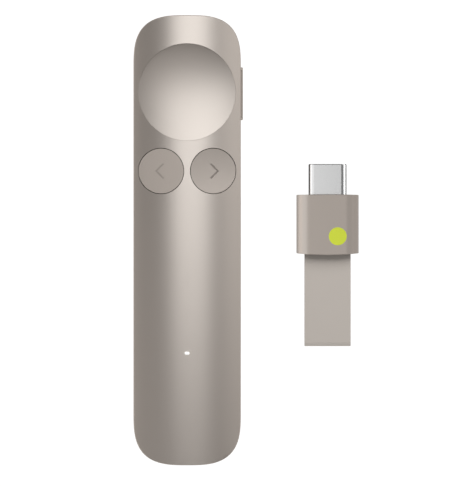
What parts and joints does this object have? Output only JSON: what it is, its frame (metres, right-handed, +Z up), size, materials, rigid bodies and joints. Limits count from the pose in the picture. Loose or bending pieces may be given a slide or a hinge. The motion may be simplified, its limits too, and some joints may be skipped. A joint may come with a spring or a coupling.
{
  "type": "wireless presentation clicker",
  "caption": "Slim crowned handheld presentation remote with a thumb dish, round arrow buttons, a side key and a status light, with its plug-in receiver on a folded pull strap.",
  "frame": {"origin": "Middle of the flat resting face of the clicker's back.", "axes": "+Z up out of the crowned front with the buttons, +Y along the clicker towards the dish end, +X towards the side key; the receiver lies beside the clicker on +X with its plug pointing to +Y."},
  "size_m": [0.0489, 0.0976, 0.012],
  "materials": {
    "satin_shell": "satin, fine-blasted and anodised taupe",
    "back_shell": "satin taupe plastic",
    "satin_button": "satin metallic taupe paint",
    "receiver_collar": "satin metallic taupe paint",
    "dark_plastic": "fine matt moulding",
    "black_plastic": "moulded",
    "pale_plastic": "moulded",
    "circuit_board": "solder mask",
    "steel": "plain",
    "plug_steel": "smooth drawn steel",
    "contact_gold": "gold plated",
    "cell_pouch": "soft foil",
    "tape": "adhesive tape",
    "foam": "closed-cell foam",
    "lead_sleeve": "smooth",
    "ceramic": "unglazed",
    "light_window": "frosted, lit",
    "light_source": "lit",
    "strap": "smooth matt elastomer"
  },
  "bodies": {
    "housing": {"front_shell": "satin_shell", "back_shell": "back_shell", "receiver_bay": "dark_plastic", "main_board": "circuit_board", "board_screws": "steel", "pointer_switch": "black_plastic", "previous_switch": "black_plastic", "next_switch": "black_plastic", "side_switch": "black_plastic", "light_pipe": "light_window", "status_led": "light_source", "battery": "cell_pouch", "battery_tape": "tape", "protection_board": "circuit_board", "battery_leads": "lead_sleeve", "battery_socket": "pale_plastic", "haptic_motor": "steel", "motor_pad": "foam", "port_shell": "steel", "port_tongue": "black_plastic", "port_contacts": "contact_gold", "radio_shield": "steel", "radio_antenna": "ceramic", "controller_chip": "black_plastic", "motion_sensor": "black_plastic", "crystal": "steel", "charge_chip": "black_plastic", "capacitors": "ceramic"},
    "pointer_button": {"pointer_cap": "satin_shell", "pointer_plunger": "steel"},
    "previous_button": {"previous_cap": "satin_button", "previous_plunger": "steel"},
    "next_button": {"next_cap": "satin_button", "next_plunger": "steel"},
    "side_button": {"side_key": "satin_button", "side_plunger": "steel"},
    "receiver": {"receiver_collar": "receiver_collar", "receiver_core": "black_plastic", "receiver_board": "circuit_board", "receiver_chip": "black_plastic", "plug_shell": "plug_steel", "plug_insulator": "black_plastic", "plug_contacts": "contact_gold", "pull_strap": "strap", "strap_pin": "steel"}
  },
  "joints": [
    {"name": "pointer_press", "type": "slide", "parent": "housing", "child": "pointer_button", "axis": [0, 0, -1], "range_m": [0, 0.0003], "stiffness_N_per_m": 5000, "springref_m": -0.0001},
    {"name": "previous_press", "type": "slide", "parent": "housing", "child": "previous_button", "axis": [0, 0, -1], "range_m": [0, 0.00025], "stiffness_N_per_m": 5000, "springref_m": -0.0001},
    {"name": "next_press", "type": "slide", "parent": "housing", "child": "next_button", "axis": [0, 0, -1], "range_m": [0, 0.00025], "stiffness_N_per_m": 5000, "springref_m": -0.0001},
    {"name": "side_press", "type": "slide", "parent": "housing", "child": "side_button", "axis": [-1, 0, 0], "range_m": [0, 0.00025], "stiffness_N_per_m": 5000, "springref_m": -0.0001},
    {"name": "receiver_lift", "type": "slide", "parent": "housing", "child": "receiver", "axis": [0, 0, 1], "range_m": [0, 0.02]}
  ]
}
